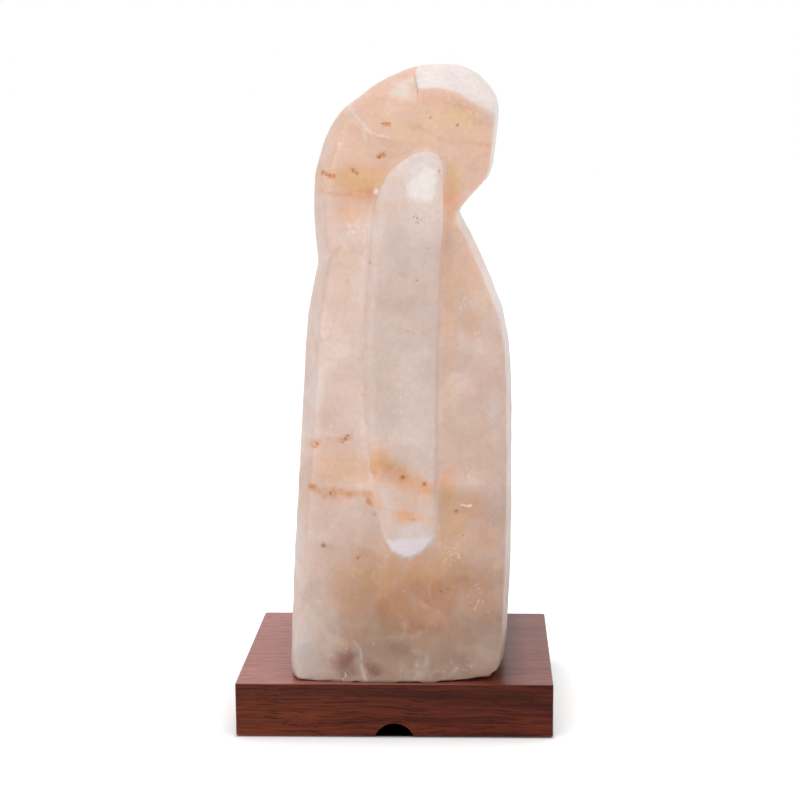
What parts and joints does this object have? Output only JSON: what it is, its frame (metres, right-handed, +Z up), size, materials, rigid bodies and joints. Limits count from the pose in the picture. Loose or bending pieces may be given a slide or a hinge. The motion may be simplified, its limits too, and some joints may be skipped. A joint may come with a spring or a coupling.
{
  "type": "salt crystal lamp",
  "caption": "Carved rock-salt figure with bowed head and raised arm on a grooved hardwood plinth, with a removable clip-in bulb holder inside.",
  "frame": {"origin": "on the surface the lamp stands on, under the middle of the plinth", "axes": "+Z up; the carved side with the cable groove faces -Y, and the bowed head looks towards +X"},
  "size_m": [0.145, 0.11, 0.303],
  "materials": {
    "rock_salt": "ground and water-washed halite, waxy satin, cloudy and translucent",
    "varnished_hardwood": "red-brown hardwood under satin varnish",
    "felt": "pressed wool felt",
    "zinc_plated_steel": "bright zinc plate",
    "nylon": "moulded nylon",
    "black_phenolic": "moulded phenolic, satin gloss",
    "porcelain": "part-glazed porcelain",
    "brass": "turned and pressed brass",
    "phosphor_bronze": "rolled strip",
    "spring_steel": "bright rolled spring strip",
    "solder": "domed solder",
    "black_glass": "fused black glass",
    "nickel_plated_brass": "rolled thread, nickel plate",
    "clear_glass": "blown clear glass",
    "stem_glass": "pressed lead glass",
    "nickel_wire": "drawn wire",
    "tungsten": "coiled drawn wire"
  },
  "bodies": {
    "lamp": {"salt_block": "rock_salt", "wood_plinth": "varnished_hardwood", "felt_pads": "felt", "plinth_screws": "zinc_plated_steel", "screw_plugs": "nylon"},
    "lampholder": {"holder_cap": "black_phenolic", "holder_sleeve": "black_phenolic", "collar_ring": "black_phenolic", "contact_carrier": "porcelain", "live_terminal": "brass", "neutral_terminal": "brass", "terminal_screws": "zinc_plated_steel", "centre_contact": "phosphor_bronze", "side_contact": "phosphor_bronze", "screw_shell": "brass", "shell_rivets": "brass"},
    "clip_left": {"spring_clip_left": "spring_steel"},
    "clip_right": {"spring_clip_right": "spring_steel"},
    "bulb_tip_contact": {"bulb_tip": "solder"},
    "bulb": {"bulb_insulator": "black_glass", "bulb_cap": "nickel_plated_brass", "bulb_glass": "clear_glass", "bulb_stem": "stem_glass", "lead_wires": "nickel_wire", "filament": "tungsten"}
  },
  "joints": [
    {"name": "holder_pull", "type": "slide", "parent": "lamp", "child": "lampholder", "axis": [0, 0, -1], "range_m": [0, 0.11]},
    {"name": "clip_left_squeeze", "type": "hinge", "parent": "lampholder", "child": "clip_left", "pos_m": [-0.0162, 0, 0.0574], "axis": [0, -1, 0], "range_deg": [0, 14], "stiffness_Nm_per_rad": 0.05, "springref_deg": -5.73},
    {"name": "clip_right_squeeze", "type": "hinge", "parent": "lampholder", "child": "clip_right", "pos_m": [0.0162, 0, 0.0574], "axis": [0, 1, 0], "range_deg": [0, 14], "stiffness_Nm_per_rad": 0.05, "springref_deg": -5.73},
    {"name": "bulb_rise", "type": "slide", "parent": "lampholder", "child": "bulb_tip_contact", "axis": [0, 0, 1], "range_m": [0, 0.0128]},
    {"name": "bulb_unscrew", "type": "hinge", "parent": "bulb_tip_contact", "child": "bulb", "pos_m": [0, 0, 0.06], "axis": [0, 0, 1], "range_deg": [0, 1620]}
  ],
  "couplings": [
    {"joint": "bulb_rise", "follows": "bulb_unscrew", "m_per_rad": 0.00044913}
  ]
}
